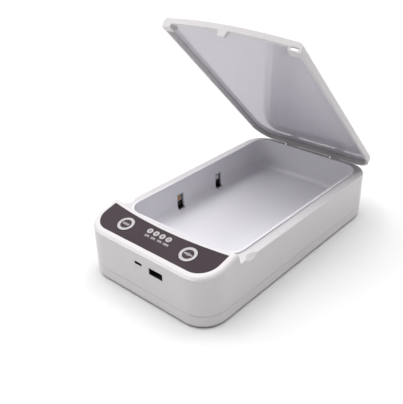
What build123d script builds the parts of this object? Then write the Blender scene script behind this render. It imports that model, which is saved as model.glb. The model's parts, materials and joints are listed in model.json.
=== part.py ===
from build123d import *
import math
import os

os.makedirs("parts", exist_ok=True)

# A clam-shell UV sterilizing box. Millimetres, +Z up, origin on the floor under the centre of the case.
# The control panel and the sockets face -Y, and the lid is hinged at +Y.

# ---- Driving dimensions: the case ----
CASE_WIDTH = 120.0
CASE_LENGTH = 215.0
CORNER_RADIUS = 20.0
WALL = 2.2
FOOT_HEIGHT = 1.2
FOOT_RECESS = 0.3
COVER_BOTTOM = FOOT_HEIGHT - FOOT_RECESS
COVER_TOP = 10.3
HOUSING_BOTTOM = 10.4
RIM_TOP = 39.6
DECK = 2.0
DECK_UNDERSIDE = RIM_TOP - DECK
COVER_FLOOR = 2.0
COVER_WALL = 3.4
TONGUE_GAP = 0.2
TONGUE_HEIGHT = 2.2
BOTTOM_EDGE_RADIUS = 2.4
RIM_EDGE_RADIUS = 0.8
TOP_EDGE_RADIUS = 4.0
PARTING_CHAMFER = 0.15
OVERCUT = 1.0

# ---- The step where the raised front meets the lid: an upright arc that leans forward ----
STEP_RADIUS = 303.0
STEP_CENTRE_Y = 224.8
STEP_LEAN = 0.2
STEP_WALL = 3.5
STEP_EDGE_RADIUS = 0.6

# ---- The ledge behind the step, which lies under the lid's front lip ----
LEDGE_TOP = 42.6
LEDGE_REAR = -74.2
LEDGE_WIDTH = 100.0
NOTCH_WIDTH = 10.0
NOTCH_REAR = -75.4
NOTCH_FLOOR = 38.6

# ---- The sloping control panel ----
PANEL_Y = -91.0
PANEL_Z = 43.96
PANEL_TILT = 12.74
BORDER_RISE = 0.3
OVERLAY_THICKNESS = 1.0
OVERLAY_GAP = 0.15
OVERLAY_HALF_WIDTH = 55.0
OVERLAY_FRONT = -11.8
OVERLAY_REAR = 8.9
OVERLAY_REAR_RADIUS = 387.0
OVERLAY_CORNER_RADIUS = 15.0
PANEL_DECK = 2.0
PANEL_DECK_UNDERSIDE = -OVERLAY_THICKNESS - PANEL_DECK

# ---- Buttons and indicators, in the panel's own plane ----
BUTTON_X = 30.3
BUTTON_RADIUS = 6.85
BUTTON_GAP = 0.15
BUTTON_PROUD = 0.2
BUTTON_TRAVEL = 0.5
BUTTON_FLANGE_RADIUS = 8.2
BUTTON_FLANGE = 0.8
BUTTON_FLANGE_GAP = 0.1
RING_INNER = 4.3
RING_OUTER = 6.5
RING_DEPTH = 0.3
INDICATOR_COUNT = 4
INDICATOR_PITCH = 6.0
INDICATOR_V = 3.7
LENS_RADIUS = 2.4
LENS_STEM_RADIUS = 1.5
FIT_GAP = 0.1

# ---- The compartment tub ----
TRAY_WALL = 1.6
TRAY_HALF_WIDTH = 52.4
TRAY_FRONT = -72.6
TRAY_REAR = 101.4
TRAY_CORNER_RADIUS = 13.6
TRAY_BOTTOM = 12.0
TRAY_TOP = 41.1
TRAY_FILLET = 5.0
TRAY_LIP_RADIUS = 0.4
TRAY_GAP = 0.15
FLANGE_WIDTH = 0.8
FLANGE_THICKNESS = 1.5
SLOT_Y = (-13.0, 36.3)
SLOT_WIDTH = 7.5
SLOT_BOTTOM = 14.2
SLOT_TOP = 28.2
BOARD_PAD_Y = (SLOT_Y[0] + 12, SLOT_Y[1] - 12)
UV_BOARD_Z = 21.5
UV_BOARD_HEIGHT = 16.0
UV_DIODE_HEIGHT = 1.3
TRAY_LENGTH = TRAY_REAR - TRAY_FRONT
TRAY_CENTRE_Y = (TRAY_REAR + TRAY_FRONT) / 2

# ---- The lid, sized as it lies when closed, and turned open about the hinge ----
LID_OPEN_ANGLE = 45.5
HINGE_Y = 105.2
HINGE_Z = 35.4
HINGE_X = 23.5
PIN_RADIUS = 1.0
PIN_LENGTH = 16.0
PIN_CLEARANCE = 0.05
BARREL_RADIUS = 2.2
BARREL_LENGTH = 8.6
LID_EDGE = 40.6
LID_TOP = 47.2
LID_SKIN = 1.8
LID_SKIRT = 2.0
LID_GAP = 0.4
LID_TOP_RADIUS = 3.0
LID_CORNER_RADIUS = 4.5
LIP_EDGE = 43.2
BLOCK_INNER = 50.6
BLOCK_OUTER = 59.0
BLOCK_FRONT = -71.9
BLOCK_REAR = -67.0
TAB_BOTTOM = 39.2
TAB_ROOT_WIDTH = 8.5
TAB_TIP_WIDTH = 6.0
LUG_FRONT = 105.5
LUG_THICKNESS = 1.9
LINER_THICKNESS = 1.0
LINER_GAP = 0.3

# ---- Sockets in the front wall ----
USB_A_X = 15.1
USB_A_WIDTH = 13.2
USB_A_HEIGHT = 5.7
USB_A_DEPTH = 14.0
USB_A_CORNER = 0.6
USB_A_TONGUE = (11.0, 1.9, 1.0, 2.5)
MICRO_X = -1.8
MICRO_WIDTH = 7.6
MICRO_HEIGHT = 2.8
MICRO_DEPTH = 5.5
MICRO_CORNER = 1.1
MICRO_TONGUE = (4.0, 0.6, 0.2, 1.0)
MOUTH_LIP = 0.15
SHELL_METAL = 0.3

# ---- Circuit boards and cell ----
BOARD_THICKNESS = 1.2
MAIN_BOARD_BOTTOM = 32.4
MAIN_BOARD_HALF_WIDTH = 42.0
MAIN_BOARD_REAR = -80.0
CONTROL_BOARD_TOP = -6.4
CONTROL_BOARD_HALF_WIDTH = 36.0
CONTROL_BOARD_HALF_DEPTH = 7.0
CELL_SIZE = (60.0, 92.0, 6.4)
CELL_Y = 10.0
PAD_THICKNESS = 0.8
PAD_INSET = 5.0

# ---- Screws, posts and feet ----
COVER_SCREWS = [(-47.0, -95.0), (47.0, -95.0), (-30.0, 88.0), (30.0, 88.0)]
COVER_POST_RADIUS = 3.4
COVER_POST_TOP = 8.0
HOUSING_POST_TOP = 41.0
POST_GAP = 0.1
COVER_SCREW_SEAT = 4.0
COVER_SCREW_TIP = 12.2
COVER_SHANK_RADIUS = 1.3
COVER_HEAD_RADIUS = 2.4
COVER_HEAD_HEIGHT = 1.8
COVER_HOLE_DEPTH = 10.0
SHANK_CLEARANCE = 0.2
HEAD_CLEARANCE = 0.3
BOARD_SCREW_X = 39.5
BOARD_SCREW_Y = -84.0
BOARD_POST_RADIUS = 2.2
BOARD_POST_TOP = 43.4
BOARD_SHANK_RADIUS = 1.0
BOARD_SCREW_REACH = 4.0
BOARD_HOLE_DEPTH = 5.0
CONTROL_SCREW_X = 14.0
CONTROL_SCREW_V = -4.0
FEET = {
    "foot_front_left": (-40.0, -78.0),
    "foot_front_right": (40.0, -78.0),
    "foot_rear_left": (-42.0, 84.0),
    "foot_rear_right": (42.0, 84.0),
}
FOOT_RADIUS = 4.6
FOOT_EDGE_RADIUS = 0.4

# ---- Magnets ----
MAGNET_SIZE = 4.5
MAGNET_THICKNESS = 2.0
MAGNET_X = 54.8
MAGNET_Y = -69.2
LID_MAGNET_FRONT = -72.0
LID_MAGNET_Y = LID_MAGNET_FRONT + MAGNET_SIZE / 2
MAGNET_LIFT = 0.9

# ---- Planes ----
TILT = math.radians(PANEL_TILT)
PANEL = Plane(origin=(0, PANEL_Y, PANEL_Z), x_dir=(1, 0, 0), z_dir=(0, -math.sin(TILT), math.cos(TILT)))
FRONT = Plane(origin=(0, -CASE_LENGTH / 2, 0), x_dir=(1, 0, 0), z_dir=(0, -1, 0))

OPEN_SIN = math.sin(math.radians(LID_OPEN_ANGLE))
OPEN_COS = math.cos(math.radians(LID_OPEN_ANGLE))
# The closed lid's XY plane, turned about the hinge, so that a lid sketch keeps its closed coordinates.
LID = Plane(
    origin=(
        0,
        HINGE_Y - HINGE_Y * OPEN_COS - HINGE_Z * OPEN_SIN,
        HINGE_Z + HINGE_Y * OPEN_SIN - HINGE_Z * OPEN_COS,
    ),
    x_dir=(1, 0, 0),
    z_dir=(0, OPEN_SIN, OPEN_COS),
)


def level(z):
    """The horizontal plane at height z."""
    return Plane.XY.offset(z)


def across(x):
    """The upright plane at x, with sketch coordinates (y, z)."""
    return Plane.YZ.offset(x)


def lid_front(y):
    """The lid's own upright plane at y, facing forward, with closed-lid coordinates (x, z)."""
    return Plane(origin=LID.origin + LID.y_dir * y, x_dir=(1, 0, 0), z_dir=-LID.y_dir)


def lid_across(x):
    """The lid's own upright plane at x, with closed-lid coordinates (y, z)."""
    return Plane(origin=LID.origin + Vector(x, 0, 0), x_dir=LID.y_dir, z_dir=(1, 0, 0))


def save(piece, name):
    """Label one finished piece and write it as its own file."""
    piece.part.label = name
    export_step(piece.part, f"parts/{name}.step")


def case_outline(inset=0.0):
    """The case's rounded rectangle, drawn inset by a distance."""
    RectangleRounded(CASE_WIDTH - 2 * inset, CASE_LENGTH - 2 * inset, CORNER_RADIUS - inset)


def tray_outline(inset=0.0):
    """The tub's rounded rectangle, drawn inset by a distance."""
    with Locations((0, TRAY_CENTRE_Y)):
        RectangleRounded(
            2 * (TRAY_HALF_WIDTH - inset), TRAY_LENGTH - 2 * inset, TRAY_CORNER_RADIUS - inset
        )


def overlay_outline(grow=0.0):
    """The panel's outline in its own plane: rounded front corners and a hollow arc behind."""
    depth = 2 * OVERLAY_CORNER_RADIUS
    width = 2 * (OVERLAY_HALF_WIDTH + grow)
    with Locations((0, OVERLAY_FRONT - grow + depth / 2)):
        front = Rectangle(width, depth)
    fillet(front.vertices().group_by(Axis.Y)[0], OVERLAY_CORNER_RADIUS + grow)
    with Locations((0, OVERLAY_REAR + OVERLAY_REAR_RADIUS)):
        Circle(OVERLAY_REAR_RADIUS - grow, mode=Mode.SUBTRACT)


def step_cone(shrink, low, high, mode):
    """The lid's room: a wide upright cone whose front is the leaning step."""
    bottom = STEP_RADIUS - shrink + STEP_LEAN * (low - RIM_TOP)
    top = STEP_RADIUS - shrink + STEP_LEAN * (high - RIM_TOP)
    Cone(bottom, top, high - low, mode=mode)


def indicator_places():
    """Where the four indicators stand in the panel's plane."""
    first = -INDICATOR_PITCH * (INDICATOR_COUNT - 1) / 2
    return [(first + i * INDICATOR_PITCH, INDICATOR_V) for i in range(INDICATOR_COUNT)]


def raised_front():
    """The raised front section, from the parting line to the sloping top, with a rounded edge."""
    rear_y = -60.0
    rear_slack = 0.1
    block_top = 52.0
    cone_low = RIM_TOP - RIM_EDGE_RADIUS
    with BuildPart() as block:
        with BuildSketch(level(HOUSING_BOTTOM)):
            case_outline()
            with Locations((0, rear_y)):
                Rectangle(CASE_WIDTH, CASE_LENGTH, align=(Align.CENTER, Align.MAX), mode=Mode.INTERSECT)
        extrude(amount=block_top - HOUSING_BOTTOM)
        split(bisect_by=PANEL.offset(BORDER_RISE), keep=Keep.BOTTOM)
        slope = block.faces().sort_by(Axis.Z)[-1]
        rim = slope.edges().filter_by(lambda e: e.center().Y < rear_y - rear_slack)
        fillet(rim, TOP_EDGE_RADIUS)
        with Locations((0, STEP_CENTRE_Y, (cone_low + block_top) / 2)):
            step_cone(0, cone_low, block_top, Mode.SUBTRACT)
        slope = block.faces().sort_by(Axis.Z)[-1]
        fillet(slope.edges().sort_by(Axis.Y)[-1], STEP_EDGE_RADIUS)
    return block.part


def front_hollow():
    """The room under the control panel."""
    room_height = 20.0
    with BuildPart() as room:
        with BuildSketch(level(DECK_UNDERSIDE - OVERCUT)):
            case_outline(WALL)
            with Locations((0, STEP_CENTRE_Y)):
                Circle(STEP_RADIUS + STEP_WALL, mode=Mode.SUBTRACT)
            with Locations((0, 0)):
                Rectangle(CASE_WIDTH, CASE_LENGTH, align=(Align.CENTER, Align.MIN), mode=Mode.SUBTRACT)
        extrude(amount=room_height)
        split(bisect_by=PANEL.offset(PANEL_DECK_UNDERSIDE), keep=Keep.BOTTOM)
    return room.part


def upper_housing():
    """The case's main shell: side walls, rim deck, raised front, hinge knuckles and screw posts."""
    notch_half = BARREL_LENGTH / 2 + 0.3
    notch_front = TRAY_REAR + 1.2
    notch_floor = HINGE_Z - BARREL_RADIUS - 0.2
    notch_size = (6.0, 9.0)
    knuckle_width = 3.5
    knuckle_size = (5.0, 5.1)
    knuckle_place = (HINGE_Y - 0.3, HINGE_Z - 0.25)
    ledge_depth = 6.0
    notch_radius = STEP_RADIUS + STEP_LEAN * (LEDGE_TOP - RIM_TOP)
    scoop_radius = 9.3
    scoop_depth = 2.5
    scoop_y = -60.5
    scoop_reach = 8.0
    front = raised_front()
    hollow = front_hollow()
    with BuildPart() as housing:
        with BuildSketch(level(HOUSING_BOTTOM)):
            case_outline()
        extrude(amount=RIM_TOP - HOUSING_BOTTOM)
        fillet(housing.edges().group_by(Axis.Z)[-1], RIM_EDGE_RADIUS)
        add(front)
        chamfer(housing.faces().sort_by(Axis.Z)[0].edges(), PARTING_CHAMFER)
        with BuildSketch(level(HOUSING_BOTTOM)):
            case_outline(WALL)
        extrude(amount=DECK_UNDERSIDE - HOUSING_BOTTOM, mode=Mode.SUBTRACT)
        add(hollow, mode=Mode.SUBTRACT)
        with BuildSketch(level(DECK_UNDERSIDE - OVERCUT)):
            tray_outline(-TRAY_GAP)
        extrude(amount=DECK + 2 * OVERCUT, mode=Mode.SUBTRACT)

        # Ledge under the lid's front lip, with a notch for the lid's locating tab
        with BuildSketch(level(DECK_UNDERSIDE)):
            with Locations((0, LEDGE_REAR)):
                Rectangle(LEDGE_WIDTH, ledge_depth, align=(Align.CENTER, Align.MAX))
        extrude(amount=LEDGE_TOP - DECK_UNDERSIDE)
        with BuildSketch(level(NOTCH_FLOOR)):
            with Locations((0, NOTCH_REAR)):
                Rectangle(NOTCH_WIDTH, ledge_depth, align=(Align.CENTER, Align.MAX))
            with Locations((0, STEP_CENTRE_Y)):
                Circle(notch_radius, mode=Mode.INTERSECT)
        extrude(amount=LEDGE_TOP - NOTCH_FLOOR, mode=Mode.SUBTRACT)

        # Recess, button holes and light-pipe holes of the control panel
        with BuildSketch(PANEL.offset(BORDER_RISE)):
            overlay_outline(OVERLAY_GAP)
        extrude(amount=-(BORDER_RISE + OVERLAY_THICKNESS), mode=Mode.SUBTRACT)
        with BuildSketch(PANEL):
            with Locations((-BUTTON_X, 0), (BUTTON_X, 0)):
                Circle(BUTTON_RADIUS + 2 * BUTTON_GAP)
            with Locations(*indicator_places()):
                Circle(LENS_STEM_RADIUS + FIT_GAP)
        extrude(amount=PANEL_DECK_UNDERSIDE - OVERCUT, mode=Mode.SUBTRACT)

        # Mouths of the two sockets
        with BuildSketch(FRONT):
            with Locations((USB_A_X, MAIN_BOARD_BOTTOM - USB_A_HEIGHT / 2)):
                RectangleRounded(USB_A_WIDTH - 2 * MOUTH_LIP, USB_A_HEIGHT - 2 * MOUTH_LIP, USB_A_CORNER)
            with Locations((MICRO_X, MAIN_BOARD_BOTTOM - MICRO_HEIGHT / 2)):
                RectangleRounded(
                    MICRO_WIDTH - 2 * MOUTH_LIP, MICRO_HEIGHT - 2 * MOUTH_LIP, MICRO_CORNER - MOUTH_LIP
                )
        extrude(amount=-(WALL + OVERCUT), mode=Mode.SUBTRACT)

        # Knuckles and notches of the hinge in the rear wall
        for side in (-1, 1):
            with BuildSketch(across(side * HINGE_X)):
                with Locations(knuckle_place):
                    Rectangle(*knuckle_size)
            extrude(amount=notch_half + knuckle_width, both=True)
            with BuildSketch(across(side * HINGE_X)):
                with Locations((notch_front, notch_floor)):
                    Rectangle(*notch_size, align=Align.MIN)
            extrude(amount=notch_half, both=True, mode=Mode.SUBTRACT)
            with BuildSketch(across(side * HINGE_X)):
                with Locations((HINGE_Y, HINGE_Z)):
                    Circle(PIN_RADIUS)
            extrude(amount=PIN_LENGTH / 2, both=True, mode=Mode.SUBTRACT)

        # Finger scoops in the rim's outer edge, cut by a slanted cylinder
        for side in (-1, 1):
            reach = (scoop_radius - scoop_depth) * math.sqrt(0.5)
            centre = (side * (CASE_WIDTH / 2 + reach), scoop_y, RIM_TOP + reach)
            with BuildSketch(Plane(origin=centre, x_dir=(0, 1, 0), z_dir=(side, 0, -1))):
                Circle(scoop_radius)
            extrude(amount=scoop_reach, both=True, mode=Mode.SUBTRACT)

        # Posts for the cover screws, up to the panel's deck
        for x, y in COVER_SCREWS[:2]:
            with BuildSketch(level(COVER_POST_TOP + POST_GAP)):
                with Locations((x, y)):
                    Circle(COVER_POST_RADIUS)
            extrude(amount=HOUSING_POST_TOP - COVER_POST_TOP)
            with BuildSketch(level(COVER_POST_TOP)):
                with Locations((x, y)):
                    Circle(COVER_SHANK_RADIUS)
            extrude(amount=COVER_HOLE_DEPTH, mode=Mode.SUBTRACT)

        # Posts for the main board and the control board
        for side in (-1, 1):
            with BuildSketch(level(MAIN_BOARD_BOTTOM + BOARD_THICKNESS)):
                with Locations((side * BOARD_SCREW_X, BOARD_SCREW_Y)):
                    Circle(BOARD_POST_RADIUS)
            extrude(amount=BOARD_POST_TOP - MAIN_BOARD_BOTTOM - BOARD_THICKNESS)
            with BuildSketch(level(MAIN_BOARD_BOTTOM + BOARD_THICKNESS)):
                with Locations((side * BOARD_SCREW_X, BOARD_SCREW_Y)):
                    Circle(BOARD_SHANK_RADIUS)
            extrude(amount=BOARD_HOLE_DEPTH, mode=Mode.SUBTRACT)
            with BuildSketch(PANEL.offset(CONTROL_BOARD_TOP)):
                with Locations((side * CONTROL_SCREW_X, CONTROL_SCREW_V)):
                    Circle(BOARD_POST_RADIUS)
            extrude(amount=PANEL_DECK_UNDERSIDE - CONTROL_BOARD_TOP)
            with BuildSketch(PANEL.offset(CONTROL_BOARD_TOP)):
                with Locations((side * CONTROL_SCREW_X, CONTROL_SCREW_V)):
                    Circle(BOARD_SHANK_RADIUS)
            extrude(amount=BOARD_SCREW_REACH, mode=Mode.SUBTRACT)
    save(housing, "upper_housing")


def bottom_cover():
    """The lower shell, with an alignment tongue, counterbored screw posts and foot recesses."""
    inner_floor = COVER_BOTTOM + COVER_FLOOR
    tongue_inset = WALL + TONGUE_GAP
    with BuildPart() as cover:
        with BuildSketch(level(COVER_BOTTOM)):
            case_outline()
        extrude(amount=COVER_TOP - COVER_BOTTOM)
        fillet(cover.edges().group_by(Axis.Z)[0], BOTTOM_EDGE_RADIUS)
        chamfer(cover.edges().group_by(Axis.Z)[-1], PARTING_CHAMFER)
        with BuildSketch(level(COVER_TOP)):
            case_outline(tongue_inset)
        extrude(amount=TONGUE_HEIGHT)
        with BuildSketch(level(inner_floor)):
            case_outline(COVER_WALL)
        extrude(amount=COVER_TOP, mode=Mode.SUBTRACT)
        with BuildSketch(level(inner_floor)):
            with Locations(*COVER_SCREWS):
                Circle(COVER_POST_RADIUS)
        extrude(amount=COVER_POST_TOP - inner_floor)
        with BuildSketch(level(COVER_BOTTOM)):
            with Locations(*COVER_SCREWS):
                Circle(COVER_SHANK_RADIUS + SHANK_CLEARANCE)
        extrude(amount=COVER_POST_TOP, mode=Mode.SUBTRACT)
        with BuildSketch(level(COVER_BOTTOM)):
            with Locations(*COVER_SCREWS):
                Circle(COVER_HEAD_RADIUS + HEAD_CLEARANCE)
        extrude(amount=COVER_SCREW_SEAT - COVER_BOTTOM, mode=Mode.SUBTRACT)
        with BuildSketch(level(COVER_BOTTOM)):
            with Locations(*FEET.values()):
                Circle(FOOT_RADIUS + FIT_GAP)
        extrude(amount=FOOT_RECESS, mode=Mode.SUBTRACT)
    save(cover, "bottom_cover")


def feet():
    """Four round rubber feet in the cover's recesses."""
    for name, place in FEET.items():
        with BuildPart() as foot:
            with BuildSketch(level(0)):
                with Locations(place):
                    Circle(FOOT_RADIUS)
            extrude(amount=FOOT_HEIGHT)
            fillet(foot.edges().group_by(Axis.Z)[0], FOOT_EDGE_RADIUS)
        save(foot, name)


def cover_screws():
    """The four screws that hold the cover: two in the housing's posts, two in the tub's."""
    cross_length = 2.6
    cross_width = 0.6
    cross_depth = 0.9
    with BuildPart() as screws:
        with BuildSketch(level(COVER_SCREW_SEAT)):
            with Locations(*COVER_SCREWS):
                Circle(COVER_HEAD_RADIUS)
        extrude(amount=-COVER_HEAD_HEIGHT)
        with BuildSketch(level(COVER_SCREW_SEAT)):
            with Locations(*COVER_SCREWS):
                Circle(COVER_SHANK_RADIUS)
        extrude(amount=COVER_SCREW_TIP - COVER_SCREW_SEAT)
        with BuildSketch(level(COVER_SCREW_SEAT - COVER_HEAD_HEIGHT)):
            with Locations(*COVER_SCREWS):
                Rectangle(cross_length, cross_width)
                Rectangle(cross_width, cross_length)
        extrude(amount=cross_depth, mode=Mode.SUBTRACT)
    save(screws, "cover_screws")


def tray_room():
    """The space inside the tub, rounded where its walls meet the floor."""
    with BuildPart() as room:
        with BuildSketch(level(TRAY_BOTTOM + TRAY_WALL)):
            tray_outline(TRAY_WALL)
        extrude(amount=TRAY_TOP)
        fillet(room.edges().group_by(Axis.Z)[0], TRAY_FILLET)
    return room.part


def inner_tray():
    """The tub that lines the compartment, with a flange under the rim deck and slots for UV light."""
    cutter_width = 8.0
    pad_length = 7.0
    pad_height = 6.0
    pad_z = 22.0
    room = tray_room()
    with BuildPart() as tray:
        with BuildSketch(level(TRAY_BOTTOM)):
            tray_outline()
        extrude(amount=TRAY_TOP - TRAY_BOTTOM)
        fillet(tray.edges().group_by(Axis.Z)[0], TRAY_FILLET + TRAY_WALL)
        with BuildSketch(level(DECK_UNDERSIDE - FLANGE_THICKNESS)):
            tray_outline(-FLANGE_WIDTH)
        extrude(amount=FLANGE_THICKNESS)
        add(room, mode=Mode.SUBTRACT)
        fillet(tray.edges().group_by(Axis.Z)[-1], TRAY_LIP_RADIUS)
        for side in (-1, 1):
            for y in SLOT_Y:
                with BuildSketch(level(SLOT_BOTTOM)):
                    with Locations((side * (TRAY_HALF_WIDTH + OVERCUT - cutter_width / 2), y)):
                        Rectangle(cutter_width, SLOT_WIDTH)
                extrude(amount=SLOT_TOP - SLOT_BOTTOM, mode=Mode.SUBTRACT)
            for y in BOARD_PAD_Y:
                with BuildSketch(across(side * TRAY_HALF_WIDTH)):
                    with Locations((y, pad_z)):
                        Rectangle(pad_length, pad_height)
                extrude(amount=side * UV_DIODE_HEIGHT)
        for x, y in COVER_SCREWS[2:]:
            with BuildSketch(level(COVER_POST_TOP + POST_GAP)):
                with Locations((x, y)):
                    Circle(COVER_POST_RADIUS)
            extrude(amount=TRAY_BOTTOM - COVER_POST_TOP)
            with BuildSketch(level(COVER_POST_TOP)):
                with Locations((x, y)):
                    Circle(COVER_SHANK_RADIUS)
            extrude(amount=COVER_SCREW_TIP + HEAD_CLEARANCE - COVER_POST_TOP, mode=Mode.SUBTRACT)
    save(tray, "inner_tray")


def uv_lights():
    """One long board outside each side wall, with a diode behind each slot."""
    diode_size = 5.0
    diode_z = 24.2
    overhang = 9.0
    board_face = TRAY_HALF_WIDTH + UV_DIODE_HEIGHT
    board_length = SLOT_Y[1] - SLOT_Y[0] + 2 * overhang
    board_centre = (SLOT_Y[0] + SLOT_Y[1]) / 2
    for side, word in ((-1, "left"), (1, "right")):
        with BuildPart() as board:
            with BuildSketch(across(side * board_face)):
                with Locations((board_centre, UV_BOARD_Z)):
                    Rectangle(board_length, UV_BOARD_HEIGHT)
            extrude(amount=side * BOARD_THICKNESS)
        save(board, f"uv_board_{word}")
        for y, place in zip(SLOT_Y, ("front", "rear")):
            with BuildPart() as diode:
                with BuildSketch(across(side * board_face)):
                    with Locations((y, diode_z)):
                        Rectangle(diode_size, diode_size)
                extrude(amount=-side * UV_DIODE_HEIGHT)
            save(diode, f"uv_led_{word}_{place}")


def control_overlay():
    """The dark panel plate, with holes for the buttons and the indicator lenses."""
    with BuildPart() as overlay:
        with BuildSketch(PANEL):
            overlay_outline()
            with Locations((-BUTTON_X, 0), (BUTTON_X, 0)):
                Circle(BUTTON_RADIUS + BUTTON_GAP, mode=Mode.SUBTRACT)
            with Locations(*indicator_places()):
                Circle(LENS_RADIUS + FIT_GAP, mode=Mode.SUBTRACT)
        extrude(amount=-OVERLAY_THICKNESS)
    save(overlay, "control_overlay")


def buttons():
    """Two round caps with a pale ring let into the top, each resting on its switch's plunger."""
    flange_top = PANEL_DECK_UNDERSIDE - BUTTON_FLANGE_GAP
    cap_bottom = flange_top - BUTTON_FLANGE
    plunger_radius = 1.5
    plunger_grip = 0.9
    plunger_length = BUTTON_TRAVEL + plunger_grip
    switch_height = 1.9
    switch_size = 6.0
    switch_floor = 0.5
    for side, word in ((-1, "left"), (1, "right")):
        centre = (side * BUTTON_X, 0)
        with BuildPart() as cap:
            with BuildSketch(PANEL.offset(cap_bottom)):
                with Locations(centre):
                    Circle(BUTTON_FLANGE_RADIUS)
            extrude(amount=BUTTON_FLANGE)
            with BuildSketch(PANEL.offset(flange_top)):
                with Locations(centre):
                    Circle(BUTTON_RADIUS)
            extrude(amount=BUTTON_PROUD - flange_top)
            with BuildSketch(PANEL.offset(BUTTON_PROUD)):
                with Locations(centre):
                    Circle(RING_OUTER)
                    Circle(RING_INNER, mode=Mode.SUBTRACT)
            extrude(amount=-RING_DEPTH, mode=Mode.SUBTRACT)
        save(cap, f"button_cap_{word}")
        with BuildPart() as ring:
            with BuildSketch(PANEL.offset(BUTTON_PROUD)):
                with Locations(centre):
                    Circle(RING_OUTER)
                    Circle(RING_INNER, mode=Mode.SUBTRACT)
            extrude(amount=-RING_DEPTH)
        save(ring, f"button_ring_{word}")
        with BuildPart() as plunger:
            with BuildSketch(PANEL.offset(cap_bottom)):
                with Locations(centre):
                    Circle(plunger_radius)
            extrude(amount=-plunger_length)
        save(plunger, f"switch_plunger_{word}")
        with BuildPart() as switch:
            with BuildSketch(PANEL.offset(CONTROL_BOARD_TOP)):
                with Locations(centre):
                    Rectangle(switch_size, switch_size)
            extrude(amount=switch_height)
            with BuildSketch(PANEL.offset(CONTROL_BOARD_TOP + switch_floor)):
                with Locations(centre):
                    Circle(plunger_radius + FIT_GAP)
            extrude(amount=switch_height, mode=Mode.SUBTRACT)
        save(switch, f"tact_switch_{word}")


def indicators():
    """Four light pipes with a round head in the panel, each over a diode on the control board."""
    stem_bottom = -4.9
    head_proud = 0.05
    diode_size = (1.6, 2.0, 0.8)
    for number, place in enumerate(indicator_places(), start=1):
        with BuildPart() as lens:
            with BuildSketch(PANEL.offset(-OVERLAY_THICKNESS)):
                with Locations(place):
                    Circle(LENS_RADIUS)
            extrude(amount=OVERLAY_THICKNESS + head_proud)
            with BuildSketch(PANEL.offset(-OVERLAY_THICKNESS)):
                with Locations(place):
                    Circle(LENS_STEM_RADIUS)
            extrude(amount=stem_bottom + OVERLAY_THICKNESS)
        save(lens, f"indicator_lens_{number}")
        with BuildPart() as diode:
            with BuildSketch(PANEL.offset(CONTROL_BOARD_TOP)):
                with Locations(place):
                    Rectangle(diode_size[0], diode_size[1])
            extrude(amount=diode_size[2])
        save(diode, f"indicator_led_{number}")


def control_pcb():
    """The board under the panel, parallel to it."""
    with BuildPart() as board:
        with BuildSketch(PANEL.offset(CONTROL_BOARD_TOP)):
            Rectangle(2 * CONTROL_BOARD_HALF_WIDTH, 2 * CONTROL_BOARD_HALF_DEPTH)
            with Locations((-CONTROL_SCREW_X, CONTROL_SCREW_V), (CONTROL_SCREW_X, CONTROL_SCREW_V)):
                Circle(BOARD_SHANK_RADIUS + FIT_GAP, mode=Mode.SUBTRACT)
        extrude(amount=-BOARD_THICKNESS)
    save(board, "control_pcb")


def main_pcb():
    """The level board that carries the sockets on its underside."""
    edge_gap = 0.3
    front = -CASE_LENGTH / 2 + WALL + edge_gap
    with BuildPart() as board:
        with BuildSketch(level(MAIN_BOARD_BOTTOM)):
            with Locations((0, (front + MAIN_BOARD_REAR) / 2)):
                Rectangle(2 * MAIN_BOARD_HALF_WIDTH, MAIN_BOARD_REAR - front)
            with Locations((-BOARD_SCREW_X, BOARD_SCREW_Y), (BOARD_SCREW_X, BOARD_SCREW_Y)):
                Circle(BOARD_SHANK_RADIUS + FIT_GAP, mode=Mode.SUBTRACT)
        extrude(amount=BOARD_THICKNESS)
    save(board, "main_pcb")


def board_screws():
    """Two screws up through each board into the housing's posts."""
    head_radius = 1.8
    head_height = 1.1
    groups = (
        ("main_pcb_screws", level(MAIN_BOARD_BOTTOM), BOARD_SCREW_X, BOARD_SCREW_Y),
        (
            "control_pcb_screws",
            PANEL.offset(CONTROL_BOARD_TOP - BOARD_THICKNESS),
            CONTROL_SCREW_X,
            CONTROL_SCREW_V,
        ),
    )
    for name, seat, x, y in groups:
        with BuildPart() as screws:
            with BuildSketch(seat):
                with Locations((-x, y), (x, y)):
                    Circle(head_radius)
            extrude(amount=-head_height)
            with BuildSketch(seat):
                with Locations((-x, y), (x, y)):
                    Circle(BOARD_SHANK_RADIUS)
            extrude(amount=BOARD_SCREW_REACH)
        save(screws, name)


def socket(name, x, width, height, depth, corner, tongue):
    """A folded metal shell open to the front, with its plastic tongue, hung under the main board."""
    mouth = Plane(
        origin=(x, -CASE_LENGTH / 2 + WALL, MAIN_BOARD_BOTTOM - height / 2),
        x_dir=(1, 0, 0),
        z_dir=(0, -1, 0),
    )
    back = 1.0
    tongue_width, tongue_height, tongue_lift, tongue_start = tongue
    with BuildPart() as shell:
        with BuildSketch(mouth):
            RectangleRounded(width, height, corner)
        extrude(amount=-depth)
        with BuildSketch(mouth):
            RectangleRounded(width - 2 * SHELL_METAL, height - 2 * SHELL_METAL, corner - SHELL_METAL)
        extrude(amount=-(depth - back), mode=Mode.SUBTRACT)
    save(shell, f"{name}_socket")
    with BuildPart() as blade:
        with BuildSketch(mouth.offset(-(depth - back))):
            with Locations((0, tongue_lift)):
                Rectangle(tongue_width, tongue_height)
        extrude(amount=depth - back - tongue_start)
    save(blade, f"{name}_tongue")


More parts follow.
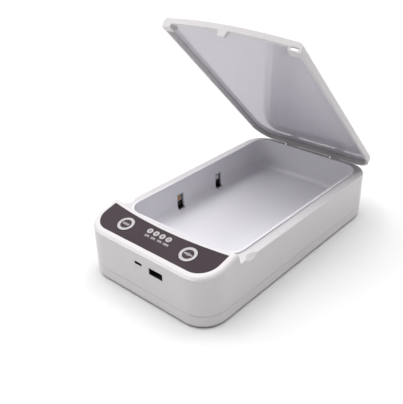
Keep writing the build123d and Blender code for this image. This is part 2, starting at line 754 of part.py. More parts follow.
def board_parts():
    """Larger parts on the main board, and the flat cable between the two boards."""
    underside = MAIN_BOARD_BOTTOM
    topside = MAIN_BOARD_BOTTOM + BOARD_THICKNESS
    corner = 0.3
    parts = {
        "charge_controller": ((-18.0, -92.0), (6.0, 6.0), underside, -1.0),
        "boost_inductor": ((-30.0, -94.0), (7.0, 7.0), underside, -3.0),
        "lid_sensor": ((31.0, -82.0), (3.0, 1.6), topside, 1.1),
    }
    for name, (centre, size, seat, height) in parts.items():
        with BuildPart() as component:
            with BuildSketch(level(seat)):
                with Locations(centre):
                    RectangleRounded(*size, corner)
            extrude(amount=height)
        save(component, name)
    ribbon_y = -88.5
    ribbon_width = 10.0
    ribbon_thickness = 0.4
    with BuildPart() as ribbon:
        with BuildSketch(level(topside)):
            with Locations((0, ribbon_y)):
                Rectangle(ribbon_width, ribbon_thickness)
        extrude(amount=LEDGE_TOP - topside)
        split(bisect_by=PANEL.offset(CONTROL_BOARD_TOP - BOARD_THICKNESS), keep=Keep.BOTTOM)
    save(ribbon, "board_ribbon")


def battery():
    """A flat pouch cell on a foam pad, between the cover and the tub."""
    floor = COVER_BOTTOM + COVER_FLOOR
    width, length, height = CELL_SIZE
    corner_radius = 2.0
    edge_radius = 1.2
    with BuildPart() as pad:
        with BuildSketch(level(floor)):
            with Locations((0, CELL_Y)):
                Rectangle(width - 2 * PAD_INSET, length - 2 * PAD_INSET)
        extrude(amount=PAD_THICKNESS)
    save(pad, "battery_pad")
    with BuildPart() as cell:
        with BuildSketch(level(floor + PAD_THICKNESS)):
            with Locations((0, CELL_Y)):
                RectangleRounded(width, length, corner_radius)
        extrude(amount=height)
        fillet(cell.edges().group_by(Axis.Z)[-1], edge_radius)
    save(cell, "battery_pack")


def hinge_pins():
    """Two steel pins, pressed into the housing's knuckles."""
    for side, word in ((-1, "left"), (1, "right")):
        with BuildPart() as pin:
            with BuildSketch(across(side * HINGE_X)):
                with Locations((HINGE_Y, HINGE_Z)):
                    Circle(PIN_RADIUS)
            extrude(amount=PIN_LENGTH / 2, both=True)
        save(pin, f"hinge_pin_{word}")


def magnets():
    """A magnet under the rim deck at each front corner, and one in each of the lid's blocks."""
    for side, word in ((-1, "left"), (1, "right")):
        with BuildPart() as keeper:
            with BuildSketch(level(DECK_UNDERSIDE)):
                with Locations((side * MAGNET_X, MAGNET_Y)):
                    Rectangle(MAGNET_SIZE, MAGNET_SIZE)
            extrude(amount=-MAGNET_THICKNESS)
        save(keeper, f"base_magnet_{word}")
        with BuildPart() as magnet:
            with BuildSketch(LID.offset(LID_EDGE + MAGNET_LIFT)):
                with Locations((side * MAGNET_X, LID_MAGNET_Y)):
                    Rectangle(MAGNET_SIZE, MAGNET_SIZE)
            extrude(amount=MAGNET_THICKNESS)
        save(magnet, f"lid_magnet_{word}")


def round_rear(edge):
    """Whether an edge of the lid's top is one of the rounded rear corners."""
    return edge.geom_type == GeomType.CIRCLE and edge.radius < STEP_RADIUS / 2


def lid_outline():
    """The closed lid seen from above: the case's outline, cut off by the step's arc, corners rounded."""
    case_outline()
    with Locations((0, STEP_CENTRE_Y)):
        blank = Circle(STEP_RADIUS - LID_GAP + STEP_LEAN * (LID_TOP - RIM_TOP), mode=Mode.INTERSECT)
    fillet(blank.vertices().group_by(Axis.Y)[0], LID_CORNER_RADIUS)


def lid_shell():
    """The lid: a shallow cover with a skirt, corner blocks, a locating tab and two hinge lugs."""
    cone_place = LID.location * Location((0, STEP_CENTRE_Y, (TAB_BOTTOM + LID_TOP) / 2))
    ceiling = LID_TOP - LID_SKIN
    front_zone = -60.0
    block_place = ((BLOCK_INNER + BLOCK_OUTER) / 2, (BLOCK_FRONT + BLOCK_REAR) / 2)
    block_size = (BLOCK_OUTER - BLOCK_INNER, BLOCK_REAR - BLOCK_FRONT)
    pocket_depth = BLOCK_REAR + OVERCUT - LID_MAGNET_FRONT
    window_size = (5.4, 2.0)
    window_corner = 0.4
    window_place = (MAGNET_X, LID_EDGE + MAGNET_LIFT + MAGNET_THICKNESS / 2)
    with BuildPart() as lid:
        with BuildSketch(LID.offset(TAB_BOTTOM)):
            lid_outline()
        extrude(amount=LID_TOP - TAB_BOTTOM)
        top = lid.edges().group_by(Axis(LID.origin, LID.z_dir))[-1]
        fillet(top.filter_by(GeomType.LINE) + top.filter_by(round_rear), LID_TOP_RADIUS)
        with Locations(cone_place):
            step_cone(LID_GAP, TAB_BOTTOM, LID_TOP, Mode.INTERSECT)
        with BuildSketch(LID.offset(TAB_BOTTOM)):
            case_outline(LID_SKIRT)
            with Locations((0, STEP_CENTRE_Y)):
                Circle(STEP_RADIUS - LID_GAP - LID_SKIRT, mode=Mode.INTERSECT)
        extrude(amount=ceiling - TAB_BOTTOM, mode=Mode.SUBTRACT)

        # The skirt's edge, raised along the front lip but for the locating tab
        with BuildSketch(lid_front(front_zone)):
            with Locations((0, LID_EDGE)):
                Rectangle(CASE_WIDTH, LID_EDGE - TAB_BOTTOM, align=(Align.CENTER, Align.MAX))
            with Locations((0, LIP_EDGE)):
                Rectangle(2 * BLOCK_INNER, LIP_EDGE - TAB_BOTTOM, align=(Align.CENTER, Align.MAX))
            Polygon(
                (-TAB_TIP_WIDTH / 2, TAB_BOTTOM),
                (TAB_TIP_WIDTH / 2, TAB_BOTTOM),
                (TAB_ROOT_WIDTH / 2, LIP_EDGE),
                (-TAB_ROOT_WIDTH / 2, LIP_EDGE),
                align=None,
                mode=Mode.SUBTRACT,
            )
        extrude(amount=CORNER_RADIUS, mode=Mode.SUBTRACT)
        with BuildSketch(lid_front(front_zone)):
            with Locations((0, LID_EDGE)):
                Rectangle(CASE_WIDTH, LID_EDGE - TAB_BOTTOM, align=(Align.CENTER, Align.MAX))
        extrude(amount=-CASE_LENGTH, mode=Mode.SUBTRACT)

        # Corner blocks, each with a magnet pocket that opens towards the hinge
        for side in (-1, 1):
            with BuildSketch(LID.offset(LID_EDGE)):
                with Locations((side * block_place[0], block_place[1])):
                    Rectangle(*block_size)
            extrude(amount=ceiling - LID_EDGE)
            with BuildSketch(LID.offset(LID_EDGE + MAGNET_LIFT)):
                with Locations((side * MAGNET_X, LID_MAGNET_FRONT)):
                    Rectangle(MAGNET_SIZE, pocket_depth, align=(Align.CENTER, Align.MIN))
            extrude(amount=MAGNET_THICKNESS, mode=Mode.SUBTRACT)

        # Window in the front of the right block, down to its magnet
        with BuildSketch(lid_front(LID_MAGNET_FRONT)):
            with Locations(window_place):
                RectangleRounded(*window_size, window_corner)
        extrude(amount=LID_SKIRT, mode=Mode.SUBTRACT)

        # Hinge lugs: a bored barrel under the rear skirt
        for side in (-1, 1):
            with BuildSketch(lid_across(side * HINGE_X)):
                with Locations((HINGE_Y, HINGE_Z)):
                    Circle(BARREL_RADIUS)
                with Locations((LUG_FRONT, HINGE_Z)):
                    Rectangle(LUG_THICKNESS, LID_EDGE - HINGE_Z + OVERCUT, align=Align.MIN)
                with Locations((HINGE_Y, HINGE_Z)):
                    Circle(PIN_RADIUS + PIN_CLEARANCE, mode=Mode.SUBTRACT)
            extrude(amount=BARREL_LENGTH / 2, both=True)
    save(lid, "lid_shell")


def lid_liner():
    """The glossy inner panel, bonded under the lid's top."""
    block_x = (BLOCK_INNER + BLOCK_OUTER) / 2
    block_y = (BLOCK_FRONT + BLOCK_REAR) / 2
    block_room = (
        BLOCK_OUTER - BLOCK_INNER + 2 * LINER_GAP,
        BLOCK_REAR - BLOCK_FRONT + 2 * LINER_GAP,
    )
    with BuildPart() as liner:
        with BuildSketch(LID.offset(LID_TOP - LID_SKIN)):
            case_outline(LID_SKIRT + LINER_GAP)
            with Locations((0, STEP_CENTRE_Y)):
                Circle(STEP_RADIUS - LID_GAP - LID_SKIRT - LINER_GAP, mode=Mode.INTERSECT)
            with Locations((-block_x, block_y), (block_x, block_y)):
                Rectangle(*block_room, mode=Mode.SUBTRACT)
        extrude(amount=-LINER_THICKNESS)
    save(liner, "lid_liner")


upper_housing()
bottom_cover()
feet()
cover_screws()
inner_tray()
uv_lights()
control_overlay()
buttons()
indicators()
control_pcb()
main_pcb()
board_screws()
socket("usb_a", USB_A_X, USB_A_WIDTH, USB_A_HEIGHT, USB_A_DEPTH, USB_A_CORNER, USB_A_TONGUE)
socket("micro_usb", MICRO_X, MICRO_WIDTH, MICRO_HEIGHT, MICRO_DEPTH, MICRO_CORNER, MICRO_TONGUE)
board_parts()
battery()
hinge_pins()
magnets()
lid_shell()
lid_liner()
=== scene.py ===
import json
import math

import bmesh
import bpy
from mathutils import Matrix, Vector


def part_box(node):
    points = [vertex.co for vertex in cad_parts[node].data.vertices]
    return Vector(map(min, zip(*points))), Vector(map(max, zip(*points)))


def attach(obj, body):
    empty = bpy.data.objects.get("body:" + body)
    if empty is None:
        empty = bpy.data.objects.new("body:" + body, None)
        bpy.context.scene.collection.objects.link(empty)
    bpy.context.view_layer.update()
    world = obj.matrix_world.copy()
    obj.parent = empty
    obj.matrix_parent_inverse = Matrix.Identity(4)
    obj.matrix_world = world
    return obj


# A clam-shell UV sterilizing box: node materials for every CAD piece, and small printed and
# electrical detail built around the frame. Metres, +Z up; the panel faces -Y.

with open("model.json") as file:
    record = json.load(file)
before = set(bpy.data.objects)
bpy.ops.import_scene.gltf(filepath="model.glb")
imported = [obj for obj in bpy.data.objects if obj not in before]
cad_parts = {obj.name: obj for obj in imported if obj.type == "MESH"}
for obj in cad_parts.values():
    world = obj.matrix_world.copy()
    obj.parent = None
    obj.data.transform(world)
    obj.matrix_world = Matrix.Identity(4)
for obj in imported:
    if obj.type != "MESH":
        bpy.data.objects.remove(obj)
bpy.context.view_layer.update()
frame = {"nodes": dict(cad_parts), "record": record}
NODES = frame["nodes"]
RECORD = frame["record"]
MM = 0.001
SIDES = ("left", "right")
# The mix node's colour inputs, which are found by identifier because they share their names
MIX_INPUTS = ("A_Color", "B_Color")
ARC_STEPS = 6
RING_STEPS = 64

# ---- Camera: the viewpoint, by angle and distance ----
CAMERA_AZIMUTH = 42.1
CAMERA_ELEVATION = 29.46
CAMERA_ROLL = -1.39
CAMERA_DISTANCE = 0.504
CAMERA_TARGET = Vector((-0.03785, -0.00117, 0.020))
CAMERA_LENS = 53.2
CAMERA_SENSOR = 36.0
CAMERA_NEAR = 0.01

# ---- Studio ----
FLOOR_SIZE = 6.0
FLOOR_COLORS = ((0.66, 0.66, 0.657), (0.69, 0.69, 0.687))
ROOM_COLOR = (1.0, 0.99, 1.0, 1.0)
# The room's strength near the horizon and overhead, and the sines of the elevations between
HORIZON_STRENGTH = 0.5
SKY_STRENGTH = 0.16
HORIZON_END = 0.04
SKY_START = 0.30
SOFTBOX_ANGLE = 60.0
# Name, azimuth that it shines from, its elevation, and its strength
SOFTBOXES = (
    ("softbox_front_left", -45.0, 45.0, 0.9),
    ("softbox_left", -90.0, 45.0, 1.2),
    ("softbox_right", 90.0, 45.0, 0.2),
    ("softbox_right_rear", 135.0, 45.0, 0.2),
    ("softbox_rear", 180.0, 45.0, 1.2),
    ("softbox_top", 0.0, 90.0, 2.05),
)

# ---- Printing on the panel and the buttons ----
PRINT_THICKNESS = 0.05 * MM
PRINT_SINK = 0.03 * MM
TICK_PITCH = 1.05 * MM
TICK_WIDTH = 0.62 * MM
TIMER_TICKS = (1.9, 1.9, 1.9, 1.9, 1.9, 1.9)
POWER_TICKS = (1.1, 1.5, 1.9, 2.3, 1.9, 1.5, 1.1)
INDICATOR_COUNT = 4
INDICATOR_RING_INNER = 1.25 * MM
INDICATOR_RING_OUTER = 2.3 * MM
INDICATOR_RING_HEIGHT = 0.12 * MM
RING_SHOULDER = 0.6
LEVEL_STEP = 25
LABEL_SIZE = 2.5 * MM
LABEL_WEIGHT = 0.08 * MM
LABEL_THICKNESS = 0.04 * MM
LABEL_AHEAD = 4.9 * MM
LABEL_RIGHT = 1.2 * MM

# ---- Sockets ----
# Name, number of contacts, their pitch and their width
SOCKET_CONTACTS = (("usb_a", 4, 2.3 * MM, 1.1 * MM), ("micro_usb", 5, 0.65 * MM, 0.35 * MM))
# Name, and the radius of its mouth's corners
SOCKET_MOUTHS = (("usb_a", 0.6 * MM), ("micro_usb", 0.95 * MM))
MOUTH_METAL = 0.25 * MM
MOUTH_RECESS = 0.15 * MM
MOUTH_INSET = 0.2 * MM
BLADE_FRONT_GAP = 0.3 * MM
BLADE_REAR_GAP = 0.2 * MM
BLADE_DROP = 0.12 * MM
BLADE_SINK = 0.05 * MM
BLADE_BEVEL = 0.04 * MM

# ---- The plate on the lid's right magnet ----
LID_OPENING = 45.5
PLATE_WIDTH = 5.2 * MM
PLATE_HEIGHT = 1.85 * MM
PLATE_CORNER = 0.35 * MM
PLATE_THICKNESS = 0.90 * MM
PLATE_SLOPE = 0.18

# ---- Ultraviolet diodes ----
DIODE_FRAME_OUTER = 2.4 * MM
DIODE_FRAME_INNER = 1.5 * MM
DIODE_FRAME_HEIGHT = 0.35 * MM
DIODE_FRAME_SINK = 0.05 * MM
DIODE_DIE_REACH = Vector((0.12, 1.35, 1.35)) * MM
DIODE_DIE_BEVEL = 0.05 * MM

# ---- Small parts under the main board ----
CHIP_ROWS = (-86.5 * MM, -90.0 * MM)
CHIPS_IN_ROW = 5
CHIP_START = 6 * MM
CHIP_PITCH = 4.5 * MM
CHIP_SIZE = Vector((1.6, 0.8, 0.55)) * MM
# How much wider each row's parts are than those of the row before
CHIP_WIDER = Vector((0, 0.2, 0)) * MM
CHIP_DROP = 0.5 * MM
CHIP_BEVEL = 0.08 * MM

# ---- Plastics, as linear colours ----
WHITE = (0.595, 0.573, 0.584)
WHITE_WORN = (0.578, 0.556, 0.567)
TRAY_WHITE = (0.750, 0.738, 0.776)
TRAY_SHADE = (0.735, 0.723, 0.761)
LINER_WHITE = (0.540, 0.523, 0.571)
LINER_SHADE = (0.525, 0.508, 0.556)
PANEL_DARK = (0.040, 0.027, 0.034)
PANEL_LIGHT = (0.048, 0.034, 0.041)


# ==== Node helpers ====

def socket_named(sockets, name):
    """A socket by its name or, where several share one name, by its identifier."""
    return next(s for s in sockets if name in (s.identifier, s.name))


def add_node(tree, kind, settings=(), **inputs):
    """A node of a kind. Each input is a value, or another node's socket to link."""
    node = tree.nodes.new(kind)
    for name, value in dict(settings).items():
        setattr(node, name, value)
    for name, value in inputs.items():
        socket = socket_named(node.inputs, name if name in MIX_INPUTS else name.replace("_", " "))
        if isinstance(value, bpy.types.NodeSocket):
            tree.links.new(value, socket)
        else:
            socket.default_value = (*value, 1) if socket.type == "RGBA" else value
    return node


def place(tree, stretch=(1, 1, 1)):
    """The object's own coordinates in metres, stretched along its axes."""
    coordinates = tree.nodes.new("ShaderNodeTexCoord").outputs["Object"]
    return add_node(tree, "ShaderNodeMapping", Vector=coordinates, Scale=stretch).outputs["Vector"]


def noise(tree, scale, detail=3.0, stretch=(1, 1, 1)):
    """Noise of so many lumps to the metre."""
    where = place(tree, stretch)
    return add_node(tree, "ShaderNodeTexNoise", Vector=where, Scale=scale, Detail=detail).outputs["Fac"]


def cells(tree, scale):
    """The distance to the nearest of many scattered points."""
    node = add_node(tree, "ShaderNodeTexVoronoi", Vector=place(tree), Scale=scale)
    return node.outputs["Distance"]


def stripes(tree, scale, direction="X", distortion=0.0):
    """Waves of so many lines to the metre, across one axis."""
    settings = {"bands_direction": direction}
    node = add_node(
        tree, "ShaderNodeTexWave", settings, Vector=place(tree), Scale=scale, Distortion=distortion
    )
    return node.outputs["Fac"]


def between(tree, factor, low, high, start=0.3, end=0.7):
    """A number that runs from low to high as the factor goes from start to end."""
    span = {"From_Min": start, "From_Max": end, "To_Min": low, "To_Max": high}
    return add_node(tree, "ShaderNodeMapRange", Value=factor, **span).outputs["Result"]


def product(tree, first, second):
    """The product of two factors."""
    node = tree.nodes.new("ShaderNodeMath")
    node.operation = "MULTIPLY"
    tree.links.new(first, node.inputs[0])
    tree.links.new(second, node.inputs[1])
    return node.outputs["Value"]


def mixed(tree, factor, first, second):
    """A colour between two, each an RGB triple or a socket."""
    node = add_node(tree, "ShaderNodeMix", {"data_type": "RGBA"}, A_Color=first, B_Color=second)
    tree.links.new(factor, node.inputs["Factor"])
    return socket_named(node.outputs, "Result_Color")


def edge_mask(tree, radius):
    """1 on sharp edges and 0 on open faces, with the rounded normal that it comes from."""
    rounded = add_node(tree, "ShaderNodeBevel", {"samples": 4}, Radius=radius).outputs["Normal"]
    flat = tree.nodes.new("ShaderNodeNewGeometry").outputs["Normal"]
    dot = add_node(tree, "ShaderNodeVectorMath", {"operation": "DOT_PRODUCT"})
    tree.links.new(rounded, dot.inputs[0])
    tree.links.new(flat, dot.inputs[1])
    return between(tree, dot.outputs["Value"], 1.0, 0.0, 0.90, 0.995), rounded


def bump(tree, height, depth, normal=None):
    """A normal raised by a height of 0 to 1 times a depth in metres."""
    node = add_node(tree, "ShaderNodeBump", Height=height, Distance=depth, Strength=1.0)
    if normal is not None:
        tree.links.new(normal, node.inputs["Normal"])
    return node.outputs["Normal"]


def new_material(name, **constants):
    """A material whose shader takes these constants, and its node tree and shader."""
    material = bpy.data.materials.new(name)
    material.use_nodes = True
    tree = material.node_tree
    shader = tree.nodes["Principled BSDF"]
    for key, value in constants.items():
        shader.inputs[key.replace("_", " ")].default_value = value
    return material, tree, shader


def finish_surface(tree, shader, color, roughness, normal):
    """Links a surface's colour, roughness and normal to its shader."""
    tree.links.new(color, shader.inputs["Base Color"])
    tree.links.new(roughness, shader.inputs["Roughness"])
    tree.links.new(normal, shader.inputs["Normal"])


# ==== Materials, one function for each kind ====

def moulded_plastic(
    name, main, other, smooth, rough, grain_scale, grain_depth, edge=0.35 * MM, **constants
):
    """Injection-moulded plastic: cloudy colour, grain, flow waviness, specks, and edges lightened as a
    painted highlight.
    """
    material, tree, shader = new_material(name, IOR=1.53, **constants)
    cloud = noise(tree, 28, 4)
    color = mixed(tree, between(tree, cloud, 0, 1), main, other)
    speck = between(tree, cells(tree, 260), 1, 0, 0.035, 0.06)
    grime = between(tree, noise(tree, 60, 5), 0, 1, 0.55, 0.75)
    speck_color = tuple(0.94 * c for c in main)
    color = mixed(tree, product(tree, speck, grime), color, speck_color)
    edges, rounded = edge_mask(tree, edge)
    # Sharp edges are lightened towards a brighter colour: a painted highlight.
    bright = tuple(min(1.0, 1.04 * c) for c in main)
    color = mixed(tree, between(tree, edges, 0, 0.6, 0, 1), color, bright)
    waviness = bump(tree, noise(tree, 90, 2), 0.006 * MM, rounded)
    grain = bump(tree, noise(tree, grain_scale, 4), grain_depth, waviness)
    roughness = between(tree, noise(tree, 150, 5), smooth, rough)
    finish_surface(tree, shader, color, roughness, grain)
    return material


def metal(name, color, shade, rough, stretch, scratch_depth, metallic=1.0):
    """Plated or brushed metal: stretched scratches, patchy tarnish, and edges lightened partly as real
    wear and partly as a painted highlight.
    """
    material, tree, shader = new_material(name, Metallic=metallic, IOR=1.5)
    scratches = noise(tree, 900, 5, stretch)
    tarnish = noise(tree, 220, 4)
    edges, rounded = edge_mask(tree, 0.12 * MM)
    base = mixed(tree, between(tree, tarnish, 0, 1), color, shade)
    # Edges are lightened towards a brighter colour: partly real wear, partly a painted highlight.
    bright = tuple(min(1.0, 1.2 * c) for c in color)
    base = mixed(tree, between(tree, edges, 0, 0.5, 0, 1), base, bright)
    roughness = between(tree, scratches, rough * 0.75, rough * 1.4)
    finish_surface(tree, shader, base, roughness, bump(tree, scratches, scratch_depth, rounded))
    return material


def circuit_board(name, mask, trace):
    """Solder mask over copper: fine tracks that run both ways, plated vias and a dusty gloss."""
    material, tree, shader = new_material(name, IOR=1.5, Coat_Weight=0.3, Coat_Roughness=0.2)
    lengthways = between(tree, stripes(tree, 260, "X"), 0, 1, 0.80, 0.84)
    crossways = between(tree, stripes(tree, 190, "Y", 1.5), 0, 1, 0.84, 0.88)
    patch = between(tree, noise(tree, 130, 0), 0, 1, 0.48, 0.50)
    tracks = mixed(tree, patch, (0, 0, 0), (1, 1, 1))
    line = mixed(tree, tracks, lengthways, crossways)
    via = between(tree, cells(tree, 420), 1, 0, 0.10, 0.12)
    base = mixed(tree, line, mask, trace)
    base = mixed(tree, via, base, (0.62, 0.55, 0.36))
    roughness = between(tree, noise(tree, 300, 4), 0.28, 0.5)
    finish_surface(tree, shader, base, roughness, bump(tree, line, 0.03 * MM))
    return material


def moulded_epoxy(name):
    """A chip's matt epoxy body, with a fine cast grain and edges lightened as a painted highlight."""
    material, tree, shader = new_material(name, IOR=1.55)
    cloud = between(tree, noise(tree, 900, 5), 0, 1)
    base = mixed(tree, cloud, (0.018, 0.018, 0.019), (0.045, 0.045, 0.047))
    roughness = between(tree, noise(tree, 2500, 3), 0.45, 0.7)
    edges, rounded = edge_mask(tree, 0.1 * MM)
    # Edges are lightened towards a paler grey: a painted highlight.
    base = mixed(tree, between(tree, edges, 0, 0.5, 0, 1), base, (0.09, 0.09, 0.09))
    grain = bump(tree, noise(tree, 5000, 3), 0.01 * MM, rounded)
    finish_surface(tree, shader, base, roughness, grain)
    return material


def ceramic(name, main, other, clear):
    """A diode's body: pale ceramic, or clear resin with a warm core."""
    material, tree, shader = new_material(
        name, IOR=1.56, Coat_Weight=0.5, Coat_Roughness=0.08, Transmission_Weight=clear
    )
    base = mixed(tree, between(tree, noise(tree, 1500, 3), 0, 1), main, other)
    roughness = between(tree, noise(tree, 3000, 3), 0.2, 0.4)
    rounded = edge_mask(tree, 0.1 * MM)[1]
    grain = bump(tree, noise(tree, 6000, 2), 0.006 * MM, rounded)
    finish_surface(tree, shader, base, roughness, grain)
    return material


def pouch_foil(name):
    """The cell's aluminium pouch: creased and brushed, with dull handling marks."""
    material, tree, shader = new_material(name, Metallic=1.0)
    creases = noise(tree, 120, 6, (1, 0.4, 1))
    cloud = between(tree, noise(tree, 60, 4), 0, 1)
    base = mixed(tree, cloud, (0.62, 0.64, 0.67), (0.48, 0.50, 0.53))
    roughness = between(tree, noise(tree, 700, 4), 0.25, 0.5)
    brushed = bump(tree, noise(tree, 2500, 3, (0.05, 1, 1)), 0.01 * MM)
    finish_surface(tree, shader, base, roughness, bump(tree, creases, 0.35 * MM, brushed))
    return material


def cell_foam(name):
    """Closed-cell foam: round pores in a soft dark skin, the hollow pores coloured darker than their
    walls as painted shade.
    """
    material, tree, shader = new_material(name, Sheen_Weight=0.3, Sheen_Roughness=0.6)
    pores = cells(tree, 1400)
    # The pores' hollows are darker than the walls between them: painted shade.
    walls = between(tree, pores, 0, 1, 0, 0.7)
    base = mixed(tree, walls, (0.035, 0.035, 0.036), (0.11, 0.11, 0.112))
    roughness = between(tree, noise(tree, 500, 3), 0.8, 0.95)
    finish_surface(tree, shader, base, roughness, bump(tree, pores, 0.3 * MM))
    return material


def foot_rubber(name):
    """Matt rubber with a moulded grain, greyed by dust where it wears."""
    material, tree, shader = new_material(name, IOR=1.52, Sheen_Weight=0.15)
    dust = between(tree, noise(tree, 350, 5), 0, 0.7, 0.45, 0.75)
    base = mixed(tree, dust, (0.055, 0.055, 0.057), (0.16, 0.155, 0.15))
    rounded = edge_mask(tree, 0.3 * MM)[1]
    roughness = between(tree, noise(tree, 900, 4), 0.6, 0.85)
    grain = bump(tree, noise(tree, 2200, 4), 0.04 * MM, rounded)
    finish_surface(tree, shader, base, roughness, grain)
    return material


def flat_cable(name):
    """Amber film over parallel copper conductors."""
    material, tree, shader = new_material(name, Coat_Weight=0.6, Coat_Roughness=0.15)
    conductors = between(tree, stripes(tree, 320, "X"), 0, 1, 0.35, 0.55)
    base = mixed(tree, conductors, (0.52, 0.26, 0.06), (0.70, 0.42, 0.20))
    roughness = between(tree, noise(tree, 800, 3), 0.3, 0.5)
    finish_surface(tree, shader, base, roughness, bump(tree, conductors, 0.04 * MM))
    return material


def make_materials():
    """One material for each of the record's slots."""
    return {
        "white_case": moulded_plastic(
            "white_case", WHITE, WHITE_WORN, smooth=0.36, rough=0.46, grain_scale=2600,
            grain_depth=0.010 * MM, Coat_Weight=0.15, Coat_Roughness=0.3,
        ),
        "white_tray": moulded_plastic(
            "white_tray", TRAY_WHITE, TRAY_SHADE, smooth=0.28, rough=0.36, grain_scale=1500,
            grain_depth=0.002 * MM, Coat_Weight=0.25, Coat_Roughness=0.15,
        ),
        "white_liner": moulded_plastic(
            "white_liner", LINER_WHITE, LINER_SHADE, smooth=0.05, rough=0.09, grain_scale=500,
            grain_depth=0.0015 * MM,
        ),
        "panel_dark": moulded_plastic(
            "panel_dark", PANEL_DARK, PANEL_LIGHT, smooth=0.34, rough=0.44, grain_scale=4200,
            grain_depth=0.008 * MM, edge=0.2 * MM, Specular_IOR_Level=0.10,
        ),
        "button_dark": moulded_plastic(
            "button_dark", PANEL_DARK, PANEL_LIGHT, smooth=0.30, rough=0.40, grain_scale=3600,
            grain_depth=0.006 * MM, edge=0.15 * MM, Specular_IOR_Level=0.12,
        ),
        "ring_pale": moulded_plastic(
            "ring_pale", (0.44, 0.42, 0.43), (0.40, 0.38, 0.39), smooth=0.35, rough=0.5,
            grain_scale=3500, grain_depth=0.006 * MM, edge=0.1 * MM,
        ),
        "lens_pale": moulded_plastic(
            "lens_pale", (0.17, 0.155, 0.16), (0.22, 0.20, 0.21), smooth=0.2, rough=0.3,
            grain_scale=3000, grain_depth=0.004 * MM, edge=0.1 * MM,
            Coat_Weight=0.2, Coat_Roughness=0.1,
        ),
        "socket_plastic": moulded_plastic(
            "socket_plastic", (0.022, 0.022, 0.024), (0.035, 0.035, 0.037), smooth=0.4, rough=0.55,
            grain_scale=4000, grain_depth=0.006 * MM, edge=0.1 * MM,
        ),
        "board_green": circuit_board("board_green", (0.012, 0.095, 0.040), (0.035, 0.19, 0.085)),
        "board_black": circuit_board("board_black", (0.012, 0.006, 0.006), (0.034, 0.018, 0.018)),
        "chip_black": moulded_epoxy("chip_black"),
        "led_ceramic": ceramic("led_ceramic", (0.36, 0.37, 0.39), (0.28, 0.29, 0.31), clear=0.0),
        "led_clear": ceramic("led_clear", (0.78, 0.74, 0.60), (0.70, 0.66, 0.54), clear=0.35),
        "steel": metal(
            "steel", (0.60, 0.60, 0.61), (0.47, 0.47, 0.48), rough=0.28, stretch=(1, 0.15, 1),
            scratch_depth=0.010 * MM,
        ),
        "magnet": metal(
            "magnet", (0.78, 0.78, 0.79), (0.68, 0.68, 0.69), rough=0.35, stretch=(1, 1, 1),
            scratch_depth=0.004 * MM, metallic=0.3,
        ),
        # The socket steel is far darker than the steel above: its colour is painted shade for the dim
        # inside of the sockets.
        "socket_steel": metal(
            "socket_steel", (0.24, 0.23, 0.24), (0.17, 0.16, 0.17), rough=0.34, stretch=(1, 0.1, 1),
            scratch_depth=0.008 * MM,
        ),
        "cell_foil": pouch_foil("cell_foil"),
        "foam": cell_foam("foam"),
        "foot_rubber": foot_rubber("foot_rubber"),
        "ribbon": flat_cable("ribbon"),
    }


def paint_frame(materials):
    """Gives each CAD piece the material of its slot."""
    for entry in RECORD["subparts"]:
        data = NODES[entry["node"]].data
        data.materials.clear()
        data.materials.append(materials[entry["material_slot"]])


# ==== Pieces ====

class Panel:
    """A flat place with its own axes: u to the right, v up the slope, and n out of it."""

    def __init__(self, normal):
        self.u = Vector((1, 0, 0))
        self.n = normal.normalized()
        self.v = self.n.cross(self.u)

    def span(self, node):
        """A CAD node's lowest and highest coordinates along u, v and n."""
        axes = (self.u, self.v, self.n)
        places = [[vertex.co.dot(axis) for axis in axes] for vertex in NODES[node].data.vertices]
        return [min(p) for p in zip(*places)], [max(p) for p in zip(*places)]

    def face_centre(self, node):
        """The middle of a CAD node's outer face, as (u, v, n)."""
        low, high = self.span(node)
        return (low[0] + high[0]) / 2, (low[1] + high[1]) / 2, high[2]

    def point(self, u, v, n):
        """A point in space, from its place on the panel."""
        return self.u * u + self.v * v + self.n * n


def finish_piece(name, mesh, body, material):
    """Makes an object of the mesh, with its material and body."""
    mesh.materials.append(material)
    piece = bpy.data.objects.new(name, mesh)
    bpy.context.scene.collection.objects.link(piece)
    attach(piece, body)


def to_mesh(build, name):
    """The finished mesh, and an end to its building."""
    mesh = bpy.data.meshes.new(name)
    build.to_mesh(mesh)
    build.free()
    return mesh


def printed_shape(panel, outlines, centre, thickness):
    """A mesh of flat outlines on a panel, each thick enough to stand proud of the surface."""
    build = bmesh.new()
    u0, v0, n0 = centre
    for outline in outlines:
        depths = (n0 - PRINT_SINK, n0 + thickness)
        lower, upper = (
            [build.verts.new(panel.point(u0 + u, v0 + v, n)) for u, v in outline] for n in depths
        )
        build.faces.new(lower)
        build.faces.new(upper)
        for i in range(len(outline)):
            j = (i + 1) % len(outline)
            build.faces.new((lower[i], lower[j], upper[j], upper[i]))
    bmesh.ops.recalc_face_normals(build, faces=build.faces)
    return to_mesh(build, "printed_shape")


def ring_of_faces(name, rings):
    """A closed skin through rings of points, with the last ring joined to the first."""
    build = bmesh.new()
    rows = [[build.verts.new(point) for point in ring] for ring in rings]
    for first, second in zip(rows, rows[1:] + rows[:1]):
        for i in range(len(first)):
            j = (i + 1) % len(first)
            build.faces.new((first[i], first[j], second[j], second[i]))
    bmesh.ops.recalc_face_normals(build, faces=build.faces)
    return to_mesh(build, name)


def lathed_ring(panel, centre, inner, outer, height):
    """A ring with a crowned top, turned about the panel's normal."""
    shoulder = height * RING_SHOULDER
    crown = ((inner + outer) / 2, height)
    profile = [(inner, -PRINT_SINK), (inner, shoulder), crown, (outer, shoulder), (outer, -PRINT_SINK)]
    u0, v0, n0 = centre
    rings = []
    for step in range(RING_STEPS):
        angle = math.tau * step / RING_STEPS
        across, along = math.cos(angle), math.sin(angle)
        rings.append([panel.point(u0 + r * across, v0 + r * along, n0 + h) for r, h in profile])
    return ring_of_faces("lathed_ring", rings)


def arc(radius, start, end):
    """Points on an arc about the origin, between two angles in degrees."""
    steps = ARC_STEPS
    angles = [math.radians(start + (end - start) * i / steps) for i in range(steps + 1)]
    return [(radius * math.cos(a), radius * math.sin(a)) for a in angles]


